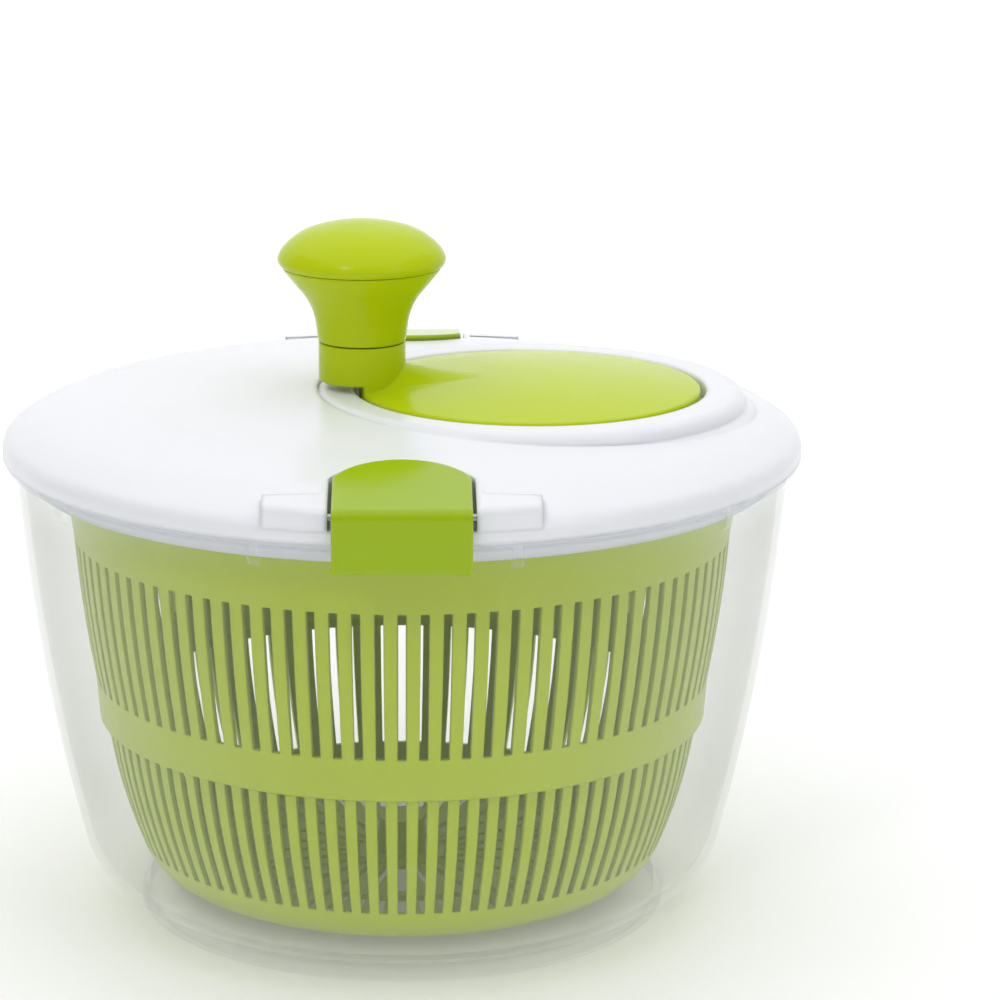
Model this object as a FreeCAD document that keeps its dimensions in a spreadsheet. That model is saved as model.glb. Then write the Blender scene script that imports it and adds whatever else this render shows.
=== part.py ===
import FreeCAD, Part
import math
import os
import re
import Sketcher
from FreeCAD import Placement, Rotation, Vector

# Salad spinner: a clear bowl, a slotted basket, and a geared lid with a crank knob and two side clips.
#
# Frame: millimetres, +Z up, the origin at the centre of the bowl's foot. The two clips are at -Y (front)
# and +Y (rear), and the crank disc's axis stands off the lid's centre towards +X. Turning the disc drives
# a gear on its shaft, which meshes with a pinion at the lid's centre, whose carrier turns the basket.

# ------------------------------------------------------------------------------------- driving dimensions

SIZES = {
    # Clear bowl
    "foot_r": 84.0,              # outer radius of the foot ring
    "foot_h": 6.0,               # height of the foot ring
    "foot_wall": 2.6,
    "bowl_wall": 2.2,
    "bowl_heel_r": 102.3,        # where the rounded heel becomes the wall
    "bowl_heel_z": 25.0,
    "bowl_heel_curve": 24.0,
    "bowl_wall_curve": 677.0,
    "bowl_rim_r": 121.0,         # outer radius at the rim
    "bowl_rim_z": 149.0,
    "flange_r": 124.0,
    "flange_z": 144.9,           # underside of the flange that the lid and the clips use
    "flange_t": 1.6,
    "gusset_count": 10,
    "gusset_w": 3.4,
    "gusset_drop": 6.0,
    "bowl_turn": -2.3,           # degrees that the bowl stands turned under the lid
    "pivot_r": 5.1,              # moulded pivot that the basket turns on
    "pivot_z": 22.0,
    # Basket
    "basket_wall": 1.7,
    "basket_floor_z": 10.5,
    "basket_floor_r": 73.5,
    "basket_low_r": 84.0,        # top of the low band
    "basket_low_z": 21.8,
    "basket_waist_r": 94.2,      # under the middle band
    "basket_waist_z": 60.8,
    "basket_step": 2.2,          # how far the middle band stands out
    "basket_mid_r": 97.4,        # top of the middle band
    "basket_mid_z": 74.7,
    "basket_band_r": 103.4,      # bottom of the upper band
    "basket_band_z": 121.0,
    "basket_rim_r": 106.4,
    "basket_rim_z": 141.4,
    "slot_count": 96,
    "slot_w": 2.6,
    "floor_slots_inner": 24,
    "floor_slots_outer": 48,
    "drive_rib_count": 12,       # ribs inside the basket's mouth that the carrier pushes on
    "socket_r": 5.4,             # bore that stands on the bowl's pivot
    "socket_wall": 2.0,
    "socket_z": 22.3,
    "basket_heel_curve": 18.3,
    "basket_low_curve": 160.0,
    "basket_band_curve": 400.0,
    "floor_slot_near": 14.0,     # the floor's two rings of slots, from and to
    "floor_slot_mid": 38.0,
    "floor_slot_next": 43.0,
    "floor_slot_far": 67.0,
    "rib_w": 2.4,
    # Lid
    "lid_r": 125.0,
    "lid_wall": 2.2,
    "lid_top_z": 166.4,
    "lid_dome_curve": 889.0,
    "lid_shoulder_r": 105.0,     # where the dome starts to fall away
    "lid_shoulder_z": 160.2,
    "lid_shoulder_curve": 40.0,
    "lid_edge_r": 122.35,        # where the fall becomes the rounded edge
    "lid_edge_z": 153.86,
    "lid_edge_curve": 5.85,
    "lid_side_z": 149.0,
    "lid_skirt_z": 147.0,        # lower edge of the outer skirt
    "lid_trim_r": 80.0,          # where the saddles and bay walls start to be trimmed to the dome
    "plug_wall": 1.8,
    "lid_skirt_t": 1.8,
    "plug_r": 117.3,             # inner skirt, which centres the lid in the bowl
    "plug_z": 140.3,
    "crank_x": 40.0,             # the crank disc's axis
    "ring_r": 67.6,              # raised ring round the disc
    "ring_foot_r": 70.6,
    "ring_z": 166.0,
    "ring_curve": 4.4,
    "well_r": 55.2,              # recess that the disc turns in
    "well_floor_z": 160.6,
    "well_floor_t": 2.0,
    "saddle_x": 40.0,            # raised saddles either side of each clip
    "saddle_y": 110.0,
    "saddle_z": 157.8,
    "saddle_bottom_z": 151.0,
    "bay_half": 21.1,            # clip bay
    "bay_wall": 2.2,
    "bay_floor_z": 151.2,
    "bay_floor_t": 1.4,
    "bay_arc_y": 109.6,
    "bay_arc_r": 23.4,
    # Crank disc and its arm
    "disc_r": 53.5,
    "disc_z": 166.25,
    "disc_crown": 4.0,
    "disc_wall": 2.0,
    "disc_under_z": 161.4,
    "collar_x": 52.5,            # knob's axis from the disc's axis
    "collar_r": 13.6,
    "collar_z": 168.2,
    "collar_top_z": 180.4,
    "hub_r": 9.0,
    "shaft_r": 7.0,
    "shaft_hex": 11.0,           # across the flats
    # Gear train
    "gear_module": 1.25,
    "gear_teeth": 48,
    "pinion_teeth": 16,
    "gear_z": 149.0,
    "gear_face": 7.0,
    "bush_wall": 2.4,
    "run_gap": 0.06,             # radial clearance of a running fit
    "fit_gap": 0.02,             # radial clearance of a fixed fit
    "pinion_shaft_r": 5.0,
    "pinion_hex": 8.0,
    "pinion_stub_r": 3.0,
    "tooth_shift": -0.1,         # thins the teeth for backlash
    "gear_web": 2.4,
    # Gear cover
    "cover_x": 36.0,
    "cover_r": 51.0,
    "cover_z": 143.8,
    "cover_t": 1.6,
    "cover_top_z": 158.3,
    "cover_wall": 1.8,
    "boss_r": 3.4,
    "screw_r": 1.5,
    # Basket carrier
    "carrier_r": 100.4,
    "carrier_z": 139.8,
    "carrier_t": 1.8,
    "carrier_skirt_z": 133.0,
    "carrier_tab_r": 103.1,
    "carrier_tab_half": 3.0,
    "carrier_wall": 1.8,
    "carrier_hub_r": 8.5,
    "carrier_hub_drop": 1.8,
    "carrier_hub_rise": 0.5,
    "window_count": 6,
    "window_r": 15.0,
    "window_x": 54.0,
    # Knob
    "knob_z": 180.9,
    "knob_foot_r": 13.7,
    "knob_neck_r": 14.6,
    "knob_neck_z": 187.5,
    "knob_flare_r": 20.3,
    "knob_flare_z": 198.0,
    "knob_seam_r": 25.4,
    "knob_seam_z": 204.2,
    "knob_r": 26.2,
    "knob_wide_z": 206.8,
    "knob_top_z": 218.4,
    "knob_wall": 2.0,
    "knob_bore_r": 3.0,
    "knob_neck_curve": 21.0,
    "knob_under_curve": 1.4,
    "knob_lip_curve": 3.0,
    "knob_side_curve": 9.0,
    "knob_crown_curve": 20.4,
    "knob_crown_r": 15.0,        # where the shoulder of the cap becomes its flatter crown
    "knob_crown_h": 2.2,
    "knob_plug_wall": 1.8,
    "knob_head_r": 6.0,          # head of the shoulder screw
    # Clips
    "clip_half": 20.0,
    "clip_t": 2.0,
    "clip_back_y": 88.0,
    "clip_back_z": 163.8,
    "clip_fold_y": 127.3,
    "clip_fold_z": 157.9,
    "clip_low_z": 139.5,
    "clip_face_curve": 70.0,
    "clip_arc_r": 21.6,
    "clip_pin_y": 120.5,
    "clip_pin_z": 154.5,
    "clip_pin_r": 1.2,
    "clip_ear_r": 2.5,
    "clip_hook_gap": 0.3,        # the hook stops this far outside the bowl's flange
    "clip_hook_z": 144.3,
    "clip_hook_half": 12.0,
    "clip_fold_curve": 3.0,
    "clip_corner_curve": 3.0,
    "clip_soft": 0.6,            # rounding of the clip's outer edges
}

doc = FreeCAD.newDocument("SaladSpinner")
sheet = doc.addObject("Spreadsheet::Sheet", "sizes")
for line, (alias, number) in enumerate(SIZES.items(), 1):
    sheet.set(f"A{line}", alias)
    sheet.set(f"B{line}", str(number))
    sheet.setAlias(f"B{line}", alias)
doc.recompute()


# ------------------------------------------------------------------------------------------------ helpers

def bound(text):
    """An expression over the sheet's cells, written with bare cell names."""
    return re.sub(r"[a-z_]{3,}", lambda word: "sizes." + word[0] if word[0] in SIZES else word[0], str(text))


def size(text):
    """The number that such an expression stands for."""
    return float(sheet.evalExpression(str(text)))


def new_body(name, place=("0", "0", "0"), turn=None):
    """A PartDesign body, placed by expressions."""
    body = doc.addObject("PartDesign::Body", name)
    body.Label = name
    for axis, text in zip("xyz", place):
        if text != "0":
            body.setExpression(f"Placement.Base.{axis}", bound(text))
    if turn is not None:
        body.setExpression("Placement.Rotation.Angle", bound(turn))
    return body


def new_sketch(body, name, role, offset=("0", "0", "0")):
    """A sketch on one of the body's own origin planes, shifted within the plane's axes."""
    sketch = body.newObject("Sketcher::SketchObject", name)
    plane = next(item for item in body.Origin.OriginFeatures if item.Role == role)
    sketch.AttachmentSupport = [(plane, "")]
    sketch.MapMode = "FlatFace"
    for axis, text in zip("xyz", offset):
        if text != "0":
            sketch.setExpression(f"AttachmentOffset.Base.{axis}", bound(text))
    return sketch


def pin_point(sketch, geometry, end, across, up):
    """Ties one end of a sketch line to its two expressions."""
    for kind, text, other_axis in (("DistanceX", across, -2), ("DistanceY", up, -1)):
        number = size(text)
        if abs(number) < 1e-9:
            sketch.addConstraint(Sketcher.Constraint("PointOnObject", geometry, end, other_axis))
            continue
        index = sketch.addConstraint(Sketcher.Constraint(kind, -1, 1, geometry, end, number))
        sketch.setExpression(f"Constraints[{index}]", bound(text))


def draw_outline(sketch, corners):
    """Closes an outline through corners (across, up[, bend]).

    bend makes the side that leads on from the corner an arc of that radius, which turns left when the
    bend is positive and right when it is negative.
    """
    first = sketch.GeometryCount
    points = [Vector(size(corner[0]), size(corner[1]), 0) for corner in corners]
    starts = []
    for index, corner in enumerate(corners):
        begin = points[index]
        finish = points[(index + 1) % len(points)]
        if len(corner) < 3:
            sketch.addGeometry(Part.LineSegment(begin, finish))
            starts.append((1, 2))
            continue
        bend = size(corner[2])
        half = (finish - begin) * 0.5
        rise = math.sqrt(bend ** 2 - half.Length ** 2)
        left = Vector(-half.y, half.x, 0).normalize()
        centre = begin + half + left * math.copysign(rise, bend)
        angles = [math.atan2(spot.y - centre.y, spot.x - centre.x) for spot in (begin, finish)]
        if bend < 0:
            angles.reverse()
        circle = Part.Circle(centre, Vector(0, 0, 1), abs(bend))
        sketch.addGeometry(Part.ArcOfCircle(circle, angles[0], angles[1]))
        starts.append((1, 2) if bend > 0 else (2, 1))
    for index, corner in enumerate(corners):
        following = (index + 1) % len(corners)
        sketch.addConstraint(Sketcher.Constraint(
            "Coincident", first + index, starts[index][1], first + following, starts[following][0]))
        pin_point(sketch, first + index, starts[index][0], corner[0], corner[1])
        if len(corner) > 2:
            radius = sketch.addConstraint(Sketcher.Constraint("Radius", first + index, abs(size(corner[2]))))
            sketch.setExpression(f"Constraints[{radius}]", bound(str(corner[2]).lstrip("-")))
    return sketch


def draw_circle(sketch, across, up, radius):
    """A circle about a bound centre."""
    index = sketch.addGeometry(Part.Circle(Vector(size(across), size(up), 0), Vector(0, 0, 1), size(radius)))
    pin_point(sketch, index, 3, across, up)
    constraint = sketch.addConstraint(Sketcher.Constraint("Radius", index, size(radius)))
    sketch.setExpression(f"Constraints[{constraint}]", bound(radius))
    return sketch


def draw_hexagon(sketch, across_flats):
    """A hexagon about the sketch's origin, with a corner on its X axis."""
    corner = f"({across_flats}) / sqrt(3)"
    half = f"({across_flats}) / 2"
    draw_outline(sketch, [
        (corner, "0"), (f"{corner} / 2", half), (f"-{corner} / 2", half),
        (f"-{corner}", "0"), (f"-{corner} / 2", f"-{half}"), (f"{corner} / 2", f"-{half}"),
    ])
    return sketch


def rectangle(left, low, right, high):
    return [(left, low), (right, low), (right, high), (left, high)]


def volume(body):
    return 0.0 if body.Shape.isNull() else body.Shape.Volume


def settle(body, feature, before, grows):
    """Recomputes a feature and makes sure that it added or removed material."""
    doc.recompute()
    after = volume(body)
    if grows and after <= before + 1e-3 or not grows and after >= before - 1e-3:
        raise RuntimeError(f"{body.Label}: {feature.Name} changed nothing ({before:.1f} to {after:.1f})")
    return feature


def turned(body, name, corners, cut=False, offset=("0", "0", "0")):
    """Revolves an outline (radius, height) about the body's Z axis, or one beside it."""
    before = volume(body)
    sketch = draw_outline(new_sketch(body, name + "_outline", "XZ_Plane", offset), corners)
    feature = body.newObject("PartDesign::Groove" if cut else "PartDesign::Revolution", name)
    feature.Profile = sketch
    feature.ReferenceAxis = (sketch, ["V_Axis"])
    feature.Angle = 360
    return settle(body, feature, before, not cut)


def raised(body, name, draw, low, high, cut=False, role="XY_Plane"):
    """Pads a drawn outline between two levels along the plane's normal, or pockets it."""
    before = volume(body)
    sketch = new_sketch(body, name + "_outline", role, ("0", "0", high if cut else low))
    draw(sketch)
    feature = body.newObject("PartDesign::Pocket" if cut else "PartDesign::Pad", name)
    feature.Profile = sketch
    feature.setExpression("Length", bound(f"({high}) - ({low})"))
    return settle(body, feature, before, not cut)


def pocket_outwards(body, name, corners, start, depth):
    """Pockets an outline (Y, Z) through the wall at +X, from the distance start on."""
    before = volume(body)
    sketch = new_sketch(body, name + "_outline", "YZ_Plane", ("0", "0", start))
    for corner_list in corners:
        draw_outline(sketch, corner_list)
    feature = body.newObject("PartDesign::Pocket", name)
    feature.Profile = sketch
    feature.Reversed = True
    feature.setExpression("Length", bound(depth))
    return settle(body, feature, before, False)


def around(body, feature, count, grows):
    """Repeats a feature round the body's Z axis."""
    before = volume(body)
    pattern = body.newObject("PartDesign::PolarPattern", feature.Name + "_ring")
    pattern.Originals = [feature]
    axis = next(item for item in body.Origin.OriginFeatures if item.Role == "Z_Axis")
    pattern.Axis = (axis, [""])
    pattern.Angle = 360
    pattern.setExpression("Occurrences", bound(count))
    body.Tip = pattern
    return settle(body, pattern, before, grows)


def rounded(body, name, radius, chosen):
    """Fillets those of the body's edges so far whose middles pass a test."""
    before = volume(body)
    feature = body.Tip
    edges = [f"Edge{number}" for number, edge in enumerate(feature.Shape.Edges, 1)
             if chosen(edge.valueAt((edge.FirstParameter + edge.LastParameter) / 2))]
    fillet = body.newObject("PartDesign::Fillet", name)
    fillet.Base = (feature, edges)
    fillet.setExpression("Radius", bound(radius))
    return settle(body, fillet, before, False)


def part_feature(name, shape, place=Vector(0, 0, 0)):
    """A finished solid whose shape comes from a formula."""
    feature = doc.addObject("Part::Feature", name)
    feature.Label = name
    feature.Shape = shape
    feature.Placement = Placement(place, Rotation())
    return feature


# --------------------------------------------------------------------------------------------------- bowl

def make_bowl():
    """One clear moulding: foot ring, rounded heel, flaring wall, flange with gussets, and a pivot."""
    body = new_body("bowl", turn="bowl_turn")
    turned(body, "shell", [
        ("0", "foot_h"),
        ("foot_r - foot_wall", "foot_h"),
        ("foot_r - foot_wall", "0"),
        ("foot_r", "0"),
        ("foot_r", "foot_h", "bowl_heel_curve"),
        ("bowl_heel_r", "bowl_heel_z", "bowl_wall_curve"),
        ("bowl_rim_r - 0.1", "flange_z"),
        ("flange_r", "flange_z"),
        ("flange_r", "flange_z + flange_t"),
        ("bowl_rim_r", "flange_z + flange_t"),
        ("bowl_rim_r", "bowl_rim_z"),
        ("bowl_rim_r - bowl_wall", "bowl_rim_z"),
        ("bowl_rim_r - bowl_wall - 0.1", "flange_z", "-bowl_wall_curve"),
        ("bowl_heel_r - bowl_wall", "bowl_heel_z + 0.5", "-bowl_heel_curve"),
        ("foot_r - 0.6", "foot_h + bowl_wall + 0.2"),
        ("pivot_r + 1.4", "foot_h + bowl_wall + 0.2"),
        ("pivot_r", "foot_h + bowl_wall + 2"),
        ("pivot_r", "pivot_z - 2"),
        ("pivot_r - 2", "pivot_z"),
        ("0", "pivot_z"),
    ])
    before = volume(body)
    sketch = new_sketch(body, "gusset_outline", "XZ_Plane")
    draw_outline(sketch, [
        ("bowl_rim_r - bowl_wall / 2", "flange_z + flange_t / 2"),
        ("bowl_rim_r - bowl_wall / 2 - 0.6", "flange_z - gusset_drop"),
        ("bowl_rim_r + 0.4", "flange_z - gusset_drop"),
        ("flange_r - 0.8", "flange_z - gusset_drop * 0.6"),
        ("flange_r - 0.8", "flange_z + flange_t / 2"),
    ])
    gusset = body.newObject("PartDesign::Pad", "gusset")
    gusset.Profile = sketch
    gusset.Midplane = True
    gusset.setExpression("Length", bound("gusset_w"))
    settle(body, gusset, before, True)
    around(body, gusset, "gusset_count", True)
    return body


# ------------------------------------------------------------------------------------------------- basket

def make_basket():
    """The slotted basket, one moulding, with a socket over the bowl's pivot and ribs in its mouth.

    It stands turned by half a rib's spacing, so that the carrier's tabs lie midway between the ribs.
    """
    body = new_body("basket", turn="180 / drive_rib_count")
    floor = "basket_floor_z + basket_wall"
    turned(body, "shell", [
        ("0", "socket_z"),
        ("socket_r", "socket_z"),
        ("socket_r", "basket_floor_z"),
        ("basket_floor_r", "basket_floor_z", "basket_heel_curve"),
        ("basket_low_r", "basket_low_z", "basket_low_curve"),
        ("basket_waist_r", "basket_waist_z"),
        ("basket_waist_r + basket_step", "basket_waist_z + 1"),
        ("basket_mid_r", "basket_mid_z", "basket_band_curve"),
        ("basket_band_r", "basket_band_z"),
        ("basket_rim_r", "basket_rim_z"),
        ("basket_rim_r - basket_wall", "basket_rim_z"),
        ("basket_band_r - basket_wall", "basket_band_z", "-basket_band_curve"),
        ("basket_mid_r - basket_wall", "basket_mid_z"),
        ("basket_waist_r + basket_step - basket_wall", "basket_waist_z + 2.2"),
        ("basket_waist_r - basket_wall", "basket_waist_z", "-basket_low_curve"),
        ("basket_low_r - basket_wall", "basket_low_z", "-basket_heel_curve"),
        ("basket_floor_r - 0.8", floor),
        ("socket_r + socket_wall", floor),
        ("socket_r + socket_wall", "socket_z + basket_wall"),
        ("0", "socket_z + basket_wall"),
    ])
    slots = pocket_outwards(body, "wall_slots", [
        rectangle("-slot_w / 2", "basket_low_z", "slot_w / 2", "basket_waist_z"),
        rectangle("-slot_w / 2", "basket_mid_z", "slot_w / 2", "basket_band_z"),
    ], "basket_floor_r", "basket_rim_r - basket_floor_r + 5")
    around(body, slots, "slot_count", False)
    for name, near, far, count in (
            ("floor_slot_inner", "floor_slot_near", "floor_slot_mid", "floor_slots_inner"),
            ("floor_slot_outer", "floor_slot_next", "floor_slot_far", "floor_slots_outer")):
        slot = raised(body, name, lambda sketch: draw_outline(sketch, rectangle(
            near, "-slot_w / 2", far, "slot_w / 2")), "basket_floor_z - 1", "basket_floor_z + 4", cut=True)
        around(body, slot, count, False)
    rib = raised(body, "drive_rib", lambda sketch: draw_outline(sketch, rectangle(
        "basket_band_r - basket_wall - 0.6", "-rib_w / 2", "basket_band_r - 0.4", "rib_w / 2")),
        "basket_band_z + 2", "basket_rim_z - 1")
    around(body, rib, "drive_rib_count", True)
    return body


# ---------------------------------------------------------------------------------------------------- lid

# Where the gear cover's four screws stand, across and up the lid.
SCREW_PLACES = [("4", "32"), ("4", "-32"), ("66", "33"), ("66", "-33")]


def bay_plan(sketch, flip, half, arc_r, front):
    """Plan of a clip bay at the front, or at the rear when flip is a minus sign."""
    side_y = f"bay_arc_y - sqrt(({arc_r}) ^ 2 - ({half}) ^ 2)"
    inner = "" if flip else "-"
    bend = f"{flip}({arc_r})"
    return draw_outline(sketch, [
        (f"-({half})", f"{inner}({front})"),
        (half, f"{inner}({front})"),
        (half, f"{inner}({side_y})", bend),
        (f"-({half})", f"{inner}({side_y})"),
    ])


def make_lid_shell():
    """The white lid: dome, saddles and bays for the clips, raised ring and recess for the crank disc."""
    body = new_body("lid_shell")
    turned(body, "dome", [
        ("0", "lid_top_z - lid_wall"),
        ("lid_shoulder_r - 0.2", "lid_shoulder_z - lid_wall"),
        ("plug_r - plug_wall", "lid_edge_z + 0.6"),
        ("plug_r - plug_wall", "plug_z"),
        ("plug_r", "plug_z"),
        ("plug_r", "bowl_rim_z + 0.8"),
        ("lid_r - lid_skirt_t", "bowl_rim_z + 0.8"),
        ("lid_r - lid_skirt_t", "lid_skirt_z"),
        ("lid_r", "lid_skirt_z"),
        ("lid_r", "lid_side_z", "lid_edge_curve"),
        ("lid_edge_r", "lid_edge_z", "lid_shoulder_curve"),
        ("lid_shoulder_r", "lid_shoulder_z", "lid_dome_curve"),
        ("0", "lid_top_z"),
    ])
    # Saddles beside the bays and the bays' own walls, front and rear, trimmed to one falling top surface.
    for end, sign in (("front", "-"), ("rear", "")):
        saddle_top = "lid_top_z + 2"
        raised(body, f"saddle_{end}", lambda sketch: draw_outline(sketch, [
            ("-saddle_x", f"{sign}saddle_y"),
            ("-saddle_x", f"{sign}sqrt(lid_r ^ 2 - saddle_x ^ 2)", "lid_r" if sign else "-lid_r"),
            ("saddle_x", f"{sign}sqrt(lid_r ^ 2 - saddle_x ^ 2)"),
            ("saddle_x", f"{sign}saddle_y"),
        ]), "saddle_bottom_z", saddle_top)
    for end, flip in (("front", ""), ("rear", "-")):
        raised(body, f"bay_wall_{end}", lambda sketch: bay_plan(sketch, flip, "bay_half + bay_wall",
                                                                "bay_arc_r + bay_wall", "lid_edge_r"),
               "bay_floor_z - bay_floor_t", "lid_top_z + 2")
    trim_top = "lid_top_z - (lid_dome_curve - sqrt(lid_dome_curve ^ 2 - lid_trim_r ^ 2))"
    turned(body, "top_trim", [
        ("lid_trim_r", "lid_top_z + 4"),
        ("lid_trim_r", trim_top, "-lid_dome_curve"),
        ("lid_shoulder_r", "lid_shoulder_z"),
        ("lid_r - 2", "saddle_z", "-2.4"),
        ("lid_r", "saddle_z - 2.2"),
        ("lid_r", "lid_skirt_z - 4"),
        ("lid_r + 8", "lid_skirt_z - 4"),
        ("lid_r + 8", "lid_top_z + 4"),
    ], cut=True)
    # The recess for the crank disc and the raised ring round it, about the disc's own axis.
    raised(body, "ring_opening", lambda sketch: draw_circle(sketch, "crank_x", "0", "ring_r - 1"),
           "plug_z - 1", "lid_top_z + 4", cut=True)
    turned(body, "ring", [
        ("shaft_r + bush_wall + fit_gap", "well_floor_z - well_floor_t - 2.2"),
        ("shaft_r + bush_wall + 2.6", "well_floor_z - well_floor_t - 2.2"),
        ("shaft_r + bush_wall + 2.6", "well_floor_z - well_floor_t"),
        ("well_r + 2", "well_floor_z - well_floor_t"),
        ("well_r + 2", "ring_z - 2"),
        ("ring_r - 3", "ring_z - 2"),
        ("ring_r - 2.2", "ring_z - 3"),
        ("ring_r - 2.2", "lid_shoulder_z - lid_wall - 0.6"),
        ("ring_foot_r", "lid_shoulder_z - lid_wall - 0.6"),
        ("ring_foot_r", "lid_shoulder_z - 0.6"),
        ("ring_r", "ring_z - ring_curve", "ring_curve"),
        ("ring_r - ring_curve", "ring_z"),
        ("well_r + 0.8", "ring_z", "0.85"),
        ("well_r", "ring_z - 0.8"),
        ("well_r", "well_floor_z"),
        ("shaft_r + bush_wall + fit_gap", "well_floor_z"),
    ], offset=("crank_x", "0", "0"))
    # Clip bays, open at the front, and the holes for the clip pins.
    for end, flip in (("front", ""), ("rear", "-")):
        raised(body, f"bay_{end}", lambda sketch: bay_plan(
            sketch, flip, "bay_half", "bay_arc_r", "lid_r + 6"), "bay_floor_z", "lid_top_z + 3", cut=True)
    for end, sign in (("front", "-"), ("rear", "")):
        before = volume(body)
        sketch = draw_circle(new_sketch(body, f"pin_hole_{end}_outline", "YZ_Plane"),
                             f"{sign}clip_pin_y", "clip_pin_z", "clip_pin_r + fit_gap")
        hole = body.newObject("PartDesign::Pocket", f"pin_hole_{end}")
        hole.Profile = sketch
        hole.Midplane = True
        hole.setExpression("Length", bound("2 * (bay_half + bay_wall) + 1"))
        settle(body, hole, before, False)
    # Bosses under the recess: the pinion's upper bearing and the gear cover's four screw posts.
    raised(body, "stub_boss", lambda sketch: draw_circle(draw_circle(
        sketch, "0", "0", "pinion_stub_r + 2.4"), "0", "0", "pinion_stub_r + run_gap"),
        "gear_z + gear_face + 0.3", "well_floor_z - well_floor_t + 0.2")
    for number, (across, up) in enumerate(SCREW_PLACES, 1):
        raised(body, f"screw_post_{number}", lambda sketch: draw_circle(draw_circle(
            sketch, across, up, "boss_r"), across, up, "screw_r + fit_gap"),
            "cover_z + cover_t + 0.02", "well_floor_z - well_floor_t + 0.2")
    return body


# ------------------------------------------------------------------------------- gear cover and its screws

def make_gear_cover():
    """The dish under the lid that closes the gear train and carries the pinion's lower bearing."""
    body = new_body("gear_cover", place=("cover_x", "0", "0"))
    turned(body, "dish", [
        ("0", "cover_z"),
        ("cover_r", "cover_z"),
        ("cover_r", "cover_top_z"),
        ("cover_r - cover_wall", "cover_top_z"),
        ("cover_r - cover_wall", "cover_z + cover_t"),
        ("0", "cover_z + cover_t"),
    ])
    hub_top = "gear_z - 0.6"
    raised(body, "hub", lambda sketch: draw_circle(
        sketch, "-cover_x", "0", "pinion_shaft_r + bush_wall + 2.2"), "cover_z", hub_top)
    raised(body, "hub_bore", lambda sketch: draw_circle(
        sketch, "-cover_x", "0", "pinion_shaft_r + bush_wall + fit_gap"),
        "cover_z - 1", hub_top + " + 1", cut=True)
    for number, (across, up) in enumerate(SCREW_PLACES, 1):
        raised(body, f"screw_hole_{number}", lambda sketch: draw_circle(
            sketch, f"{across} - cover_x", up, "screw_r + 0.2"),
            "cover_z - 1", "cover_z + cover_t + 1", cut=True)
    return body


def cylinder(name, radius, low, high, place=("0", "0")):
    """A Part cylinder between two levels, bound to the sheet."""
    item = doc.addObject("Part::Cylinder", name)
    item.setExpression("Radius", bound(radius))
    item.setExpression("Height", bound(f"({high}) - ({low})"))
    item.setExpression("Placement.Base.z", bound(low))
    for axis, text in zip("xy", place):
        if text != "0":
            item.setExpression(f"Placement.Base.{axis}", bound(text))
    return item


def joined(name, kind, base, tool):
    """A two-operand Part boolean: Part::Cut or Part::Fuse."""
    item = doc.addObject(kind, name)
    item.Label = name
    item.Base = base
    item.Tool = tool
    return item


def screw(name, shank, head_r, head_low, head_high, tip, place=("0", "0")):
    """A pan-head screw driven upwards, with a hexagon socket in its head."""
    head = cylinder(name + "_head", head_r, head_low, head_high, place)
    stem = cylinder(name + "_stem", shank, f"({head_high}) - 0.5", tip, place)
    blank = joined(name + "_blank", "Part::Fuse", head, stem)
    socket = doc.addObject("Part::Prism", name + "_socket")
    socket.Polygon = 6
    socket.Circumradius = size("screw_r") * 0.8
    socket.Height = 2
    socket.setExpression("Placement.Base.z", bound(f"({head_low}) - 1"))
    for axis, text in zip("xy", place):
        if text != "0":
            socket.setExpression(f"Placement.Base.{axis}", bound(text))
    return joined(name, "Part::Cut", blank, socket)


def ring(name, bore, outer, low, high, place=("0", "0")):
    """A washer or plain bush."""
    disc = cylinder(name + "_disc", outer, low, high, place)
    hole = cylinder(name + "_hole", bore, f"({low}) - 1", f"({high}) + 1", place)
    return joined(name, "Part::Cut", disc, hole)


def make_gear_cover_screws():
    """Four like screws, one group."""
    group = doc.addObject("Part::Compound", "gear_cover_screws")
    group.Label = "gear_cover_screws"
    group.Links = [
        screw(f"cover_screw_{number}", "screw_r", "screw_r * 1.9", "cover_z - 1.6", "cover_z - 0.02",
              "cover_z + 10", place)
        for number, place in enumerate(SCREW_PLACES, 1)
    ]
    return group


def flanged_bush(name, bore, outer, flange, low, flange_low, high, place=("0", "0")):
    """A bearing bush with a flange at its top."""
    barrel = cylinder(name + "_barrel", outer, low, high, place)
    lip = cylinder(name + "_lip", flange, flange_low, high, place)
    blank = joined(name + "_blank", "Part::Fuse", barrel, lip)
    hole = cylinder(name + "_hole", bore, f"({low}) - 1", f"({high}) + 1", place)
    return joined(name, "Part::Cut", blank, hole)


def make_crank_bush():
    return flanged_bush("crank_bush", "shaft_r + run_gap", "shaft_r + bush_wall", "hub_r + 2.4",
                        "well_floor_z - well_floor_t - 2.2", "well_floor_z + 0.02", "well_floor_z + 0.42",
                        ("crank_x", "0"))


def make_pinion_bush():
    return flanged_bush("pinion_bush", "pinion_shaft_r + run_gap", "pinion_shaft_r + bush_wall",
                        "pinion_shaft_r + bush_wall + 1.2", "cover_z", "gear_z - 0.58", "gear_z - 0.2")


# -------------------------------------------------------------------------------------- crank and its gear

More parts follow.
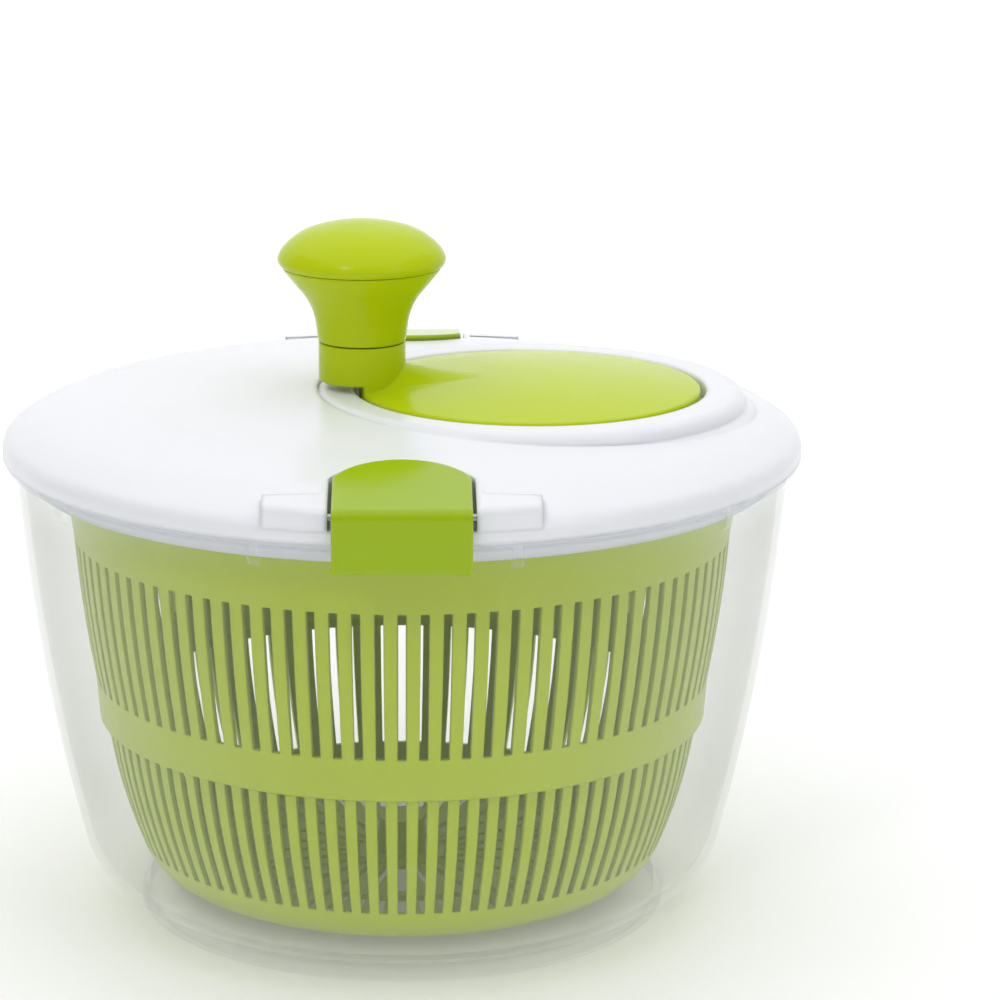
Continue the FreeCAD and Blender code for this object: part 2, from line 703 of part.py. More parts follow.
def make_crank_disc():
    """The green disc with its shaft, the arm that rises to the knob, and the collar under the knob."""
    body = new_body("crank_disc", place=("crank_x", "0", "0"))
    crown_curve = "((disc_r - 1.2) ^ 2 + disc_crown ^ 2) / (2 * disc_crown)"
    hub_low = "well_floor_z + 0.52"
    turned(body, "disc", [
        ("0", "gear_z + gear_face + 0.2"),
        ("shaft_r", "gear_z + gear_face + 0.2"),
        ("shaft_r", hub_low),
        ("hub_r", hub_low),
        ("hub_r", "disc_z + disc_crown - disc_wall - 0.3"),
        ("disc_r - disc_wall", "disc_z - disc_wall"),
        ("disc_r - disc_wall", "disc_under_z"),
        ("disc_r", "disc_under_z"),
        ("disc_r", "disc_z - 1.2", "1.3"),
        ("disc_r - 1.2", "disc_z", crown_curve),
        ("0", "disc_z + disc_crown"),
    ])
    raised(body, "collar", lambda sketch: draw_circle(sketch, "-collar_x", "0", "collar_r"),
           "disc_z - 1", "collar_top_z")
    turned(body, "collar_undercut", [
        ("disc_r", "disc_under_z - 4"),
        ("disc_r + 2 * collar_r", "disc_under_z - 4"),
        ("disc_r + 2 * collar_r", "collar_z"),
        ("disc_r", "collar_z"),
    ], cut=True)
    before = volume(body)
    sections = []
    for name, along, half, top in (("arm_root", "-collar_x + 6", "collar_r - 1.2", "collar_z + 5.2"),
                                   ("arm_tip", "-collar_x + 32", "0.9", "collar_z + 1.6")):
        sketch = new_sketch(body, name, "YZ_Plane", ("0", "0", along))
        draw_outline(sketch, [
            (f"-({half})", "disc_z - 0.4"),
            (half, "disc_z - 0.4"),
            (f"({half}) * 0.9", top),
            (f"-({half}) * 0.9", top),
        ])
        sections.append(sketch)
    arm = body.newObject("PartDesign::AdditiveLoft", "arm")
    arm.Profile = sections[0]
    arm.Sections = sections[1:]
    arm.Ruled = True
    settle(body, arm, before, True)
    raised(body, "hexagon", lambda sketch: draw_hexagon(sketch, "shaft_hex"),
           "gear_z", "gear_z + gear_face + 0.2")
    raised(body, "shaft_screw_hole", lambda sketch: draw_circle(sketch, "0", "0", "screw_r + fit_gap"),
           "gear_z - 1", "gear_z + 10", cut=True)
    raised(body, "knob_screw_hole", lambda sketch: draw_circle(
        sketch, "-collar_x", "0", "knob_bore_r - 0.5 + fit_gap"),
        "collar_z + 1.6", "collar_top_z + 1", cut=True)
    return body


def involute_gear(teeth, pitch_module, shift):
    """A spur gear's face about the origin, with a tooth centred on +X; shift thins the teeth for backlash."""
    pressure = math.radians(20)
    pitch_r = pitch_module * teeth / 2
    base_r = pitch_r * math.cos(pressure)
    tip_r = pitch_r + pitch_module * (1 + shift)
    root_r = pitch_r - pitch_module * (1.25 - shift)
    half_at_pitch = (math.pi / 2 + 2 * shift * math.tan(pressure)) / teeth

    def involute(angle):
        return math.tan(angle) - angle

    def half_tooth(radius):
        """Half the angle that a tooth takes at a radius."""
        angle = math.acos(base_r / radius)
        return half_at_pitch + involute(pressure) - involute(angle)

    def spot(radius, angle):
        return Vector(radius * math.cos(angle), radius * math.sin(angle), 0)

    start_r = max(base_r + 0.001, root_r)
    steps = 5
    radii = [start_r + (tip_r - start_r) * step / steps for step in range(steps + 1)]
    edges = []
    pitch_angle = 2 * math.pi / teeth
    for tooth in range(teeth):
        middle = tooth * pitch_angle
        rising = Part.BSplineCurve()
        rising.interpolate([spot(radius, middle - half_tooth(radius)) for radius in radii])
        falling = Part.BSplineCurve()
        falling.interpolate([spot(radius, middle + half_tooth(radius)) for radius in reversed(radii)])
        root_half = half_tooth(start_r)
        foot = spot(root_r, middle - root_half)
        if start_r > root_r + 1e-6:
            edges.append(Part.LineSegment(foot, spot(start_r, middle - root_half)).toShape())
        edges.append(rising.toShape())
        edges.append(Part.Arc(spot(tip_r, middle - half_tooth(tip_r)), spot(tip_r, middle),
                              spot(tip_r, middle + half_tooth(tip_r))).toShape())
        edges.append(falling.toShape())
        heel = spot(root_r, middle + root_half)
        if start_r > root_r + 1e-6:
            edges.append(Part.LineSegment(spot(start_r, middle + root_half), heel).toShape())
        edges.append(Part.Arc(heel, spot(root_r, middle + pitch_angle / 2),
                              spot(root_r, middle + pitch_angle - root_half)).toShape())
    return Part.Face(Part.Wire(edges))


def hexagon_prism(across_flats, low, high):
    """A hexagonal prism about the Z axis, with a corner on +X."""
    corners = [Vector(across_flats / math.sqrt(3) * math.cos(math.radians(60 * side)),
                      across_flats / math.sqrt(3) * math.sin(math.radians(60 * side)), low)
               for side in range(7)]
    return Part.Face(Part.makePolygon(corners)).extrude(Vector(0, 0, high - low))


def make_drive_gear():
    """The large gear on the disc's shaft, webbed on both faces."""
    face_width = size("gear_face")
    outline = involute_gear(int(size("gear_teeth")), size("gear_module"), size("tooth_shift"))
    blank = outline.extrude(Vector(0, 0, face_width))
    recess_depth = (face_width - size("gear_web")) / 2
    inner = size("hub_r") + 1.5
    outer = size("gear_module * gear_teeth / 2 - 5")
    for low in (0, face_width - recess_depth):
        recess = Part.makeCylinder(outer, recess_depth, Vector(0, 0, low)).cut(
            Part.makeCylinder(inner, recess_depth, Vector(0, 0, low)))
        blank = blank.cut(recess)
    bore = hexagon_prism(size("shaft_hex + 2 * fit_gap"), -1, face_width + 1)
    return part_feature("drive_gear", blank.cut(bore), Vector(size("crank_x"), 0, size("gear_z")))


def make_drive_pinion():
    """The pinion at the lid's centre, one piece with its stub, its shaft and the carrier's hexagon."""
    teeth = int(size("pinion_teeth"))
    outline = involute_gear(teeth, size("gear_module"), size("tooth_shift"))
    toothed = outline.extrude(Vector(0, 0, size("gear_face")))
    toothed.rotate(Vector(0, 0, 0), Vector(0, 0, 1), 180 / teeth)
    toothed.translate(Vector(0, 0, size("gear_z")))
    gear_top = size("gear_z + gear_face")
    carrier_top = size("carrier_z + carrier_t + carrier_hub_rise")
    carrier_low = size("carrier_z - carrier_hub_drop")
    stub = Part.makeCylinder(size("pinion_stub_r"), 2.4, Vector(0, 0, gear_top))
    shaft = Part.makeCylinder(size("pinion_shaft_r"), size("gear_z") - carrier_top, Vector(0, 0, carrier_top))
    hexagon = hexagon_prism(size("pinion_hex"), carrier_low, carrier_top)
    hole = Part.makeCylinder(size("screw_r + fit_gap"), 10, Vector(0, 0, carrier_low - 1))
    return part_feature("drive_pinion", toothed.fuse([stub, shaft, hexagon]).removeSplitter().cut(hole))


def make_crank_washer():
    return ring("crank_washer", "screw_r + 0.1", "shaft_r + 0.8", "gear_z - 1", "gear_z - 0.02",
                ("crank_x", "0"))


def make_crank_screw():
    return screw("crank_screw", "screw_r", "screw_r * 2", "gear_z - 2.7", "gear_z - 1.02", "gear_z + 8",
                 ("crank_x", "0"))


# -------------------------------------------------------------------------------------------------- knob

KNOB_PLACE = ("crank_x - collar_x", "0", "0")


def make_knob_body():
    """Neck and underside of the knob, cored from below, turning on the shoulder screw."""
    body = new_body("knob_body", place=KNOB_PLACE)
    recess_r = "knob_seam_r - 3.2"
    turned(body, "neck", [
        ("knob_bore_r + run_gap", "knob_z"),
        ("knob_bore_r + 3", "knob_z"),
        ("knob_bore_r + 3", "knob_flare_z - 5"),
        ("knob_foot_r - knob_wall", "knob_flare_z - 5"),
        ("knob_foot_r - knob_wall", "knob_z"),
        ("knob_foot_r", "knob_z"),
        ("knob_neck_r", "knob_neck_z", "-knob_neck_curve"),
        ("knob_flare_r", "knob_flare_z"),
        ("knob_seam_r - 0.9", "knob_seam_z - 0.9", "knob_under_curve"),
        ("knob_seam_r - 0.7", "knob_seam_z"),
        (recess_r, "knob_seam_z"),
        (recess_r, "knob_seam_z - 1.8"),
        ("2 * knob_head_r", "knob_flare_z - 1.9"),
        ("knob_bore_r + run_gap", "knob_flare_z - 1.9"),
    ])
    return body


def make_knob_cap():
    """The domed top of the knob, a shell that plugs into the body."""
    body = new_body("knob_cap", place=KNOB_PLACE)
    plug_r = "knob_seam_r - 3.25"
    crown = "(knob_crown_r ^ 2 + knob_crown_h ^ 2) / (2 * knob_crown_h)"
    seat = "knob_seam_z + 0.25"
    turned(body, "dome", [
        ("0", "knob_top_z - knob_wall"),
        (f"{plug_r} - knob_plug_wall", "knob_wide_z"),
        (f"{plug_r} - knob_plug_wall", "knob_seam_z - 1.75"),
        (plug_r, "knob_seam_z - 1.75"),
        (plug_r, seat),
        ("knob_seam_r - 0.2", seat, "knob_lip_curve"),
        ("knob_r", "knob_wide_z", "knob_side_curve"),
        ("knob_r - 2", "knob_wide_z + 3.6", "knob_crown_curve"),
        ("knob_crown_r", "knob_top_z - knob_crown_h", crown),
        ("0", "knob_top_z"),
    ])
    return body


def make_knob_screw():
    """Shoulder screw: thread in the collar, plain shoulder in the knob, and a head above it."""
    body = new_body("knob_screw", place=KNOB_PLACE)
    shoulder_top = "knob_flare_z - 0.9"
    turned(body, "screw", [
        ("0", "collar_z + 2"),
        ("knob_bore_r - 0.5", "collar_z + 2"),
        ("knob_bore_r - 0.5", "collar_top_z + 0.02"),
        ("knob_bore_r", "collar_top_z + 0.02"),
        ("knob_bore_r", shoulder_top),
        ("knob_head_r", shoulder_top),
        ("knob_head_r", f"{shoulder_top} + 2"),
        ("knob_head_r - 1.4", f"{shoulder_top} + 2.8"),
        ("0", f"{shoulder_top} + 2.8"),
    ])
    return body


def make_knob_washer():
    return ring("knob_washer", "knob_bore_r + 0.1", "knob_head_r + 1", "knob_flare_z - 1.8",
                "knob_flare_z - 0.95", KNOB_PLACE[:2])


# ------------------------------------------------------------------------------------------ basket carrier

def make_basket_carrier():
    """The dish on the pinion's shaft whose tabs turn the basket by the ribs in its mouth."""
    body = new_body("basket_carrier")
    top = "carrier_z + carrier_t"
    turned(body, "dish", [
        ("0", "carrier_z - carrier_hub_drop"),
        ("carrier_hub_r", "carrier_z - carrier_hub_drop"),
        ("carrier_hub_r", "carrier_z"),
        ("carrier_r - carrier_wall", "carrier_z"),
        ("carrier_r - carrier_wall", "carrier_skirt_z"),
        ("carrier_r", "carrier_skirt_z"),
        ("carrier_r", top),
        ("carrier_hub_r", top),
        ("carrier_hub_r", f"{top} + carrier_hub_rise"),
        ("0", f"{top} + carrier_hub_rise"),
    ])
    raised(body, "hexagon", lambda sketch: draw_hexagon(sketch, "pinion_hex + 2 * fit_gap"),
           "carrier_z - 3", f"{top} + 1", cut=True)
    window = raised(body, "window", lambda sketch: draw_circle(sketch, "window_x", "0", "window_r"),
                    "carrier_z - 1", f"{top} + 1", cut=True)
    around(body, window, "window_count", False)
    tab = raised(body, "drive_tab", lambda sketch: draw_outline(sketch, rectangle(
        "carrier_r - 0.8", "-carrier_tab_half", "carrier_tab_r", "carrier_tab_half")), "carrier_skirt_z", top)
    around(body, tab, "drive_rib_count", True)
    return body


def make_carrier_washer():
    return ring("carrier_washer", "screw_r + 0.1", "6", "carrier_z - 2.8", "carrier_z - 1.82")


def make_carrier_screw():
    return screw("carrier_screw", "screw_r", "screw_r * 2", "carrier_z - 4.4", "carrier_z - 2.82",
                 "carrier_z + 6.5")


# --------------------------------------------------------------------------------------------------- clips

def make_clip(name, turn):
    """A rocker clip: plate with a rounded inner end, front face with a hook, and two ears on the pin."""
    body = new_body(name, turn=turn)
    before = volume(body)
    sketch = draw_outline(new_sketch(body, "plate_outline", "YZ_Plane"), [
        ("-(clip_back_y - 1)", "clip_back_z + 0.15"),
        ("-(clip_fold_y + 0.2)", "clip_fold_z + 0.08", "clip_face_curve"),
        ("-(clip_fold_y - 0.3)", "clip_low_z"),
        ("-(lid_r + 0.4)", "clip_low_z"),
        ("-(lid_r + 0.4)", "clip_fold_z - 3"),
        ("-(lid_r - 1.6)", "clip_fold_z - 1.5"),
        ("-(clip_back_y - 1)", "clip_back_z + 0.15 - clip_t"),
    ])
    plate = body.newObject("PartDesign::Pad", "plate")
    plate.Profile = sketch
    plate.Midplane = True
    plate.setExpression("Length", bound("2 * clip_half"))
    settle(body, plate, before, True)
    arc_end = "sqrt(clip_arc_r ^ 2 - 1)"
    raised(body, "rounded_end", lambda drawn: draw_outline(drawn, [
        ("-clip_half - 5", "-bay_arc_y + 1"),
        (f"-{arc_end}", "-bay_arc_y + 1", "-clip_arc_r"),
        (arc_end, "-bay_arc_y + 1"),
        ("clip_half + 5", "-bay_arc_y + 1"),
        ("clip_half + 5", "-clip_back_y + 6"),
        ("-clip_half - 5", "-clip_back_y + 6"),
    ]), "clip_low_z", "clip_back_z + 5", cut=True)

    slope = size("(clip_back_z - clip_fold_z) / (clip_fold_y - clip_back_y)")

    def on_face(middle):
        """True near the plate's outer faces: its top and its front."""
        top_z = size("clip_back_z") - slope * (-middle.y - size("clip_back_y"))
        return middle.z > top_z - 1 or middle.y < -size("clip_fold_y - 0.8")

    def across(middle):
        """True for a straight edge from side to side, other than the lowest one."""
        return abs(middle.x) < 1 and middle.y < -size("clip_pin_y") and middle.z > size("clip_low_z + 1")

    rounded(body, "fold", "clip_fold_curve", lambda middle: on_face(middle) and across(middle))
    rounded(body, "corners", "clip_corner_curve", lambda middle: (
        abs(middle.x) > size("clip_half") - 0.01 and -size("bay_arc_y") < middle.y < -size("clip_back_y + 5")
        and middle.z < size("clip_back_z") - slope * (-middle.y - size("clip_back_y")) - 0.5
        and middle.z > size("clip_back_z - clip_t - 2.5")))
    rounded(body, "soft_edges", "clip_soft", lambda middle: on_face(middle) and not across(middle))
    before = volume(body)
    sketch = draw_outline(new_sketch(body, "hook_outline", "YZ_Plane"), [
        ("-(lid_r + 0.6)", "clip_hook_z - 3.2"),
        ("-(flange_r + clip_hook_gap)", "clip_hook_z - 1.4"),
        ("-(flange_r + clip_hook_gap)", "clip_hook_z"),
        ("-(lid_r + 0.6)", "clip_hook_z"),
    ])
    hook = body.newObject("PartDesign::Pad", "hook")
    hook.Profile = sketch
    hook.Midplane = True
    hook.setExpression("Length", bound("2 * clip_hook_half"))
    settle(body, hook, before, True)
    for side, near in (("right", "clip_half - 4.6"), ("left", "-clip_half + 2.2")):
        before = volume(body)
        sketch = draw_outline(new_sketch(body, f"ear_{side}_outline", "YZ_Plane", ("0", "0", near)), [
            ("-clip_pin_y - clip_ear_r", "clip_pin_z", "clip_ear_r + 0.02"),
            ("-clip_pin_y + clip_ear_r", "clip_pin_z"),
            ("-clip_pin_y + clip_ear_r + 3", "clip_pin_z + 4.1"),
            ("-clip_pin_y - clip_ear_r", "clip_pin_z + 2.9"),
        ])
        ear = body.newObject("PartDesign::Pad", f"ear_{side}")
        ear.Profile = sketch
        ear.Length = 2.4
        settle(body, ear, before, True)
    before = volume(body)
    sketch = draw_circle(new_sketch(body, "pin_bore_outline", "YZ_Plane"),
                         "-clip_pin_y", "clip_pin_z", "clip_pin_r + run_gap")
    bore = body.newObject("PartDesign::Pocket", "pin_bore")
    bore.Profile = sketch
    bore.Midplane = True
    bore.setExpression("Length", bound("2 * clip_half"))
    settle(body, bore, before, False)
    return body


def make_clip_pin(name, sign):
    """The steel pin that a clip rocks on, held in the bay's side walls."""
    pin = doc.addObject("Part::Cylinder", name)
    pin.Label = name
    pin.setExpression("Radius", bound("clip_pin_r"))
    pin.setExpression("Height", bound("2 * (bay_half + bay_wall) - 0.4"))
    pin.Placement = Placement(Vector(0, 0, 0), Rotation(Vector(0, 1, 0), 90))
    pin.setExpression("Placement.Base.x", bound("-(bay_half + bay_wall) + 0.2"))
    pin.setExpression("Placement.Base.y", bound(f"{sign}clip_pin_y"))
    pin.setExpression("Placement.Base.z", bound("clip_pin_z"))
    return pin


# ---------------------------------------------------------------------------------------------------- run

def main():
    """Makes every sub-part, checks the document and writes one STEP file for each."""
    nodes = [
        make_bowl(),
        make_basket(),
        make_lid_shell(),
        make_gear_cover(),
        make_gear_cover_screws(),
        make_crank_bush(),
        make_pinion_bush(),
        make_crank_disc(),
        make_drive_gear(),
        make_crank_washer(),
        make_crank_screw(),
        make_knob_body(),
        make_knob_cap(),
        make_knob_screw(),
        make_knob_washer(),
        make_drive_pinion(),
        make_basket_carrier(),
        make_carrier_washer(),
        make_carrier_screw(),
        make_clip("front_clip", None),
        make_clip("rear_clip", "180"),
        make_clip_pin("front_clip_pin", "-"),
        make_clip_pin("rear_clip_pin", ""),
    ]
    doc.recompute()
    for item in doc.Objects:
        if "Invalid" in item.State or "Error" in item.State:
            raise RuntimeError(f"{item.Label} failed: {item.State}")
    os.makedirs("parts", exist_ok=True)
    for node in nodes:
        if node.Shape.isNull() or not node.Shape.isValid():
            raise RuntimeError(f"{node.Label} has no valid shape")
        node.Shape.exportStep(f"parts/{node.Label}.step")
        print(f"{node.Label}: {len(node.Shape.Solids)} solid(s), {node.Shape.Volume / 1000:.2f} cm3")


main()
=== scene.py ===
import math

import bmesh
import bpy
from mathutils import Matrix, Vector


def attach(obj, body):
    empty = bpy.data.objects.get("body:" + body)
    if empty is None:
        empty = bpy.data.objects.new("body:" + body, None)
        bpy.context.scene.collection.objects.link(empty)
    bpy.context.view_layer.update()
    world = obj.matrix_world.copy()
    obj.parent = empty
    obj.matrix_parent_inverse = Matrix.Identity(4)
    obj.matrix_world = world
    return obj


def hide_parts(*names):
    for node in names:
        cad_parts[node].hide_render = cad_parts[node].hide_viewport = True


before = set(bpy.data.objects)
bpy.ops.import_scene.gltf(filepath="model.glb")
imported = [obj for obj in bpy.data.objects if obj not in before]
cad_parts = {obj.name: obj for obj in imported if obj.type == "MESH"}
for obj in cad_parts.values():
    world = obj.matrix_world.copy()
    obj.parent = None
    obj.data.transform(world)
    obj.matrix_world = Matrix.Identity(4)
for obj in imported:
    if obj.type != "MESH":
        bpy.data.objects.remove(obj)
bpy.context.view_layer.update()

# The looks of a salad spinner: a clear bowl, a green slotted basket, and a white lid with a green crank
# disc, knob and two clips. Metres, +Z up, the front clip at -Y, as in the CAD model.

GREEN_CRANK = (0.520, 0.640, 0.004)
GREEN_CLIP = (0.345, 0.500, 0.003)
GREEN_BASKET = (0.500, 0.630, 0.010)
WHITE_LID = (0.860, 0.870, 0.905)
WHITE_INNER = (0.780, 0.790, 0.800)
ACETAL = (0.800, 0.790, 0.740)
STEEL = (0.560, 0.570, 0.590)
# The colour of the painted highlights along the edges of the green plastics.
EDGE_HIGHLIGHT_GREEN = (0.640, 0.760, 0.020)


# ---------------------------------------------------------------------------------------------- materials

def new_material(name):
    """An empty node material with its shader, and the object's own coordinates."""
    material = bpy.data.materials.new(name)
    material.use_nodes = True
    tree = material.node_tree
    shader = tree.nodes["Principled BSDF"]
    place = tree.nodes.new("ShaderNodeTexCoord")
    return material, tree, shader, place.outputs["Object"]


def noise(tree, place, scale, detail=2.0, stretch=(1.0, 1.0, 1.0)):
    """Noise with so many waves to the metre along each axis."""
    spread = tree.nodes.new("ShaderNodeMapping")
    spread.inputs["Scale"].default_value = stretch
    tree.links.new(place, spread.inputs["Vector"])
    texture = tree.nodes.new("ShaderNodeTexNoise")
    texture.inputs["Scale"].default_value = scale
    texture.inputs["Detail"].default_value = detail
    tree.links.new(spread.outputs["Vector"], texture.inputs["Vector"])
    return texture.outputs["Fac"]


def ranged(tree, value, low, high, start=0.3, end=0.7):
    """Maps a noise value to a range."""
    node = tree.nodes.new("ShaderNodeMapRange")
    node.inputs["From Min"].default_value = start
    node.inputs["From Max"].default_value = end
    node.inputs["To Min"].default_value = low
    node.inputs["To Max"].default_value = high
    tree.links.new(value, node.inputs["Value"])
    return node.outputs["Result"]


def two_colours(tree, amount, first, second):
    """Mixes two colours by a value."""
    node = tree.nodes.new("ShaderNodeMix")
    node.data_type = "RGBA"
    node.inputs["A"].default_value = (*first, 1.0)
    node.inputs["B"].default_value = (*second, 1.0)
    tree.links.new(amount, node.inputs["Factor"])
    return node.outputs["Result"]


def mixed_in(tree, amount, under, colour):
    """Lays a colour over another node's colour by a value."""
    node = tree.nodes.new("ShaderNodeMix")
    node.data_type = "RGBA"
    tree.links.new(under, node.inputs["A"])
    node.inputs["B"].default_value = (*colour, 1.0)
    tree.links.new(amount, node.inputs["Factor"])
    return node.outputs["Result"]


def shaded(colour, share):
    """A share of a colour's light."""
    return tuple(channel * share for channel in colour)


def bumps(tree, shader, layers, edge=0.0):
    """Stacks height layers (value, depth in metres) into the shader's normal, over softened edges."""
    last = None
    if edge > 0.0:
        soft = tree.nodes.new("ShaderNodeBevel")
        soft.samples = 4
        soft.inputs["Radius"].default_value = edge
        last = soft.outputs["Normal"]
    for value, depth in layers:
        node = tree.nodes.new("ShaderNodeBump")
        node.inputs["Strength"].default_value = 1.0
        node.inputs["Distance"].default_value = depth
        tree.links.new(value, node.inputs["Height"])
        if last is not None:
            tree.links.new(last, node.inputs["Normal"])
        last = node.outputs["Normal"]
    tree.links.new(last, shader.inputs["Normal"])


def painted_edge_highlight(tree, colour, highlight_colour, radius):
    """Lightens a colour where a sharp edge turns: a painted highlight along the edges."""
    soft = tree.nodes.new("ShaderNodeBevel")
    soft.samples = 6
    soft.inputs["Radius"].default_value = radius
    flat = tree.nodes.new("ShaderNodeNewGeometry")
    turn = tree.nodes.new("ShaderNodeVectorMath")
    turn.operation = "DOT_PRODUCT"
    tree.links.new(soft.outputs["Normal"], turn.inputs[0])
    tree.links.new(flat.outputs["Normal"], turn.inputs[1])
    return mixed_in(tree, ranged(tree, turn.outputs["Value"], 0.85, 0.0, 0.84, 0.995), colour, highlight_colour)


def plastic(name, colour, rough, rough_spread=0.02, grain=1800.0, grain_depth=4.0e-7, flow_share=0.94,
            gloss=0.5, wave_depth=3.0e-6, edge=0.0008, highlight_colour=None):
    """Moulded plastic: faint flow marks in its colour, uneven polish, handling scratches, a fine grain, and a
    painted highlight along sharp edges when a highlight colour is given.
    """
    material, tree, shader, place = new_material(name)
    flow = ranged(tree, noise(tree, place, 14.0, 3.0), 0.0, 1.0, 0.1, 0.9)
    body = two_colours(tree, flow, shaded(colour, flow_share), colour)
    # Painted highlight: the colour is lightened where sharp edges turn.
    if highlight_colour is not None:
        body = painted_edge_highlight(tree, body, highlight_colour, edge)
    tree.links.new(body, shader.inputs["Base Color"])
    polish = noise(tree, place, 60.0, 4.0)
    uneven = ranged(tree, polish, rough - rough_spread, rough + rough_spread, 0.1, 0.9)
    tree.links.new(uneven, shader.inputs["Roughness"])
    scratches = noise(tree, place, 260.0, 1.0, (1.0, 0.06, 1.0))
    bumps(tree, shader, [
        (noise(tree, place, 11.0, 1.0), wave_depth),
        (noise(tree, place, grain, 2.0), grain_depth),
        (scratches, 6.0e-7),
    ], edge)
    shader.inputs["IOR"].default_value = 1.5
    shader.inputs["Specular IOR Level"].default_value = gloss
    return material


def clear_plastic(name):
    """Clear moulded plastic: see-through face on, with grey edges, a polished skin and a light shadow;
    painted light makes its foot paler where shade falls, and it is paler and bluer at the rim.
    """
    material, tree, shader, place = new_material(name)
    facing = tree.nodes.new("ShaderNodeLayerWeight")
    facing.inputs["Blend"].default_value = 0.24
    veil = ranged(tree, facing.outputs["Facing"], 0.040, 0.50, 0.04, 1.0)
    ray = tree.nodes.new("ShaderNodeLightPath")
    passed = ranged(tree, ray.outputs["Is Shadow Ray"], 1.0, 0.25, 0.0, 1.0)
    lit = tree.nodes.new("ShaderNodeMath")
    lit.operation = "MULTIPLY"
    tree.links.new(veil, lit.inputs[0])
    tree.links.new(passed, lit.inputs[1])
    tree.links.new(lit.outputs["Value"], shader.inputs["Alpha"])
    haze = ranged(tree, noise(tree, place, 9.0, 3.0), 0.0, 1.0)
    wall = two_colours(tree, haze, (0.60, 0.61, 0.60), (0.66, 0.67, 0.66))
    height = tree.nodes.new("ShaderNodeSeparateXYZ")
    tree.links.new(place, height.inputs["Vector"])
    # Painted light: the foot is made paler towards the bottom, where shade falls.
    painted_foot_light = ranged(tree, height.outputs["Z"], 1.0, 0.0, 0.012, 0.050)
    # Paler and bluer towards the rim.
    rim_band = ranged(tree, height.outputs["Z"], 0.0, 1.0, 0.134, 0.143)
    with_painted_foot_light = mixed_in(tree, painted_foot_light, wall, (0.97, 0.98, 0.97))
    tree.links.new(mixed_in(tree, rim_band, with_painted_foot_light, (0.92, 0.97, 1.00)), shader.inputs["Base Color"])
    tree.links.new(ranged(tree, noise(tree, place, 40.0, 3.0), 0.03, 0.09), shader.inputs["Roughness"])
    bumps(tree, shader, [(noise(tree, place, 9.0, 1.0), 1.6e-5), (noise(tree, place, 320.0, 2.0), 1.0e-6)])
    shader.inputs["IOR"].default_value = 1.57
    shader.inputs["Specular IOR Level"].default_value = 0.6
    return material


def brushed_steel(name):
    """Plated steel with turning marks and a little dulling."""
    material, tree, shader, place = new_material(name)
    dull = ranged(tree, noise(tree, place, 180.0, 3.0), 0.0, 1.0)
    tree.links.new(two_colours(tree, dull, shaded(STEEL, 0.8), STEEL), shader.inputs["Base Color"])
    tree.links.new(ranged(tree, noise(tree, place, 500.0, 3.0), 0.22, 0.42), shader.inputs["Roughness"])
    bumps(tree, shader, [(noise(tree, place, 3000.0, 1.0, (1.0, 1.0, 8.0)), 4.0e-6)])
    shader.inputs["Metallic"].default_value = 1.0
    return material


def paint(material, *nodes):
    """Gives CAD nodes a material."""
    for name in nodes:
        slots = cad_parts[name].material_slots
        for slot in slots:
            slot.material = material


paint(clear_plastic("clear_bowl"), "bowl")
paint(plastic("green_basket", GREEN_BASKET, 0.34), "basket")
paint(plastic("white_lid", WHITE_LID, 0.24, flow_share=0.99, wave_depth=1.5e-6, edge=0.0025), "lid_shell")
paint(plastic("green_crank", GREEN_CRANK, 0.22, flow_share=0.97, gloss=0.16, highlight_colour=EDGE_HIGHLIGHT_GREEN),
      "crank_disc", "knob_body", "knob_cap")
paint(plastic("green_clip", GREEN_CLIP, 0.12, flow_share=0.96, gloss=0.30, edge=0.0012, highlight_colour=EDGE_HIGHLIGHT_GREEN),
      "front_clip", "rear_clip")
paint(plastic("white_inner", WHITE_INNER, 0.40), "gear_cover", "basket_carrier")
paint(plastic("white_acetal", ACETAL, 0.36), "crank_bush", "pinion_bush", "drive_gear", "drive_pinion")
paint(brushed_steel("plated_steel"), "gear_cover_screws", "crank_washer", "crank_screw", "knob_screw",
      "knob_washer", "carrier_washer", "carrier_screw", "front_clip_pin", "rear_clip_pin")


# ------------------------------------------------------------------------------------------ the crank disc

MM = 0.001
CRANK_X = 40.0               # the disc's axis, from the lid's
DISC_R = 53.5
DISC_EDGE_Z = 166.25         # top of the disc at its edge
DISC_CROWN = 4.0
DISC_WALL = 2.0
DISC_LOW_Z = 161.4
HUB_R = 9.0
HUB_LOW_Z = 161.12
SHAFT_R = 7.0
COLLAR_X = -52.5             # the knob's axis, from the disc's
COLLAR_R = 13.6
COLLAR_LOW_Z = 168.2
COLLAR_TOP_Z = 180.4
ARM_START = -50.0            # the arm runs from inside the collar to its tip on the disc
ARM_LENGTH = 37.0
ARM_HEIGHT = 9.4
ARM_ROOT_HALF = 13.2
ARM_TIP_HALF = 6.0
ARM_FALL = 1.5               # how fast the ridge falls along the arm
ARM_LEAN = 0.15
RIDGE_CROWN = 2.4            # how full the ridge is across, and how softly it meets the disc
RIDGE_FOOT = 1.5
ARM_DEPTH = 1.2              # how far the arm reaches into the disc
DISC_EDGE_CURVE = 1.2
HUB_ROOF_GAP = 0.3
SHAFT_STUB = 4.0


def crown_z(radius):
    """Height of the disc's domed top."""
    rim = DISC_R - DISC_EDGE_CURVE
    ball = (rim ** 2 + DISC_CROWN ** 2) / (2 * DISC_CROWN)
    return DISC_EDGE_Z + DISC_CROWN - ball + math.sqrt(ball ** 2 - min(radius, rim) ** 2)


def corner_arc(centre_r, centre_z, radius, first, last, steps=6):
    """Points of an arc in a turned profile, between two angles in degrees."""
    angles = [math.radians(first + (last - first) * step / steps) for step in range(steps + 1)]
    return [(centre_r + radius * math.cos(angle), centre_z + radius * math.sin(angle)) for angle in angles]


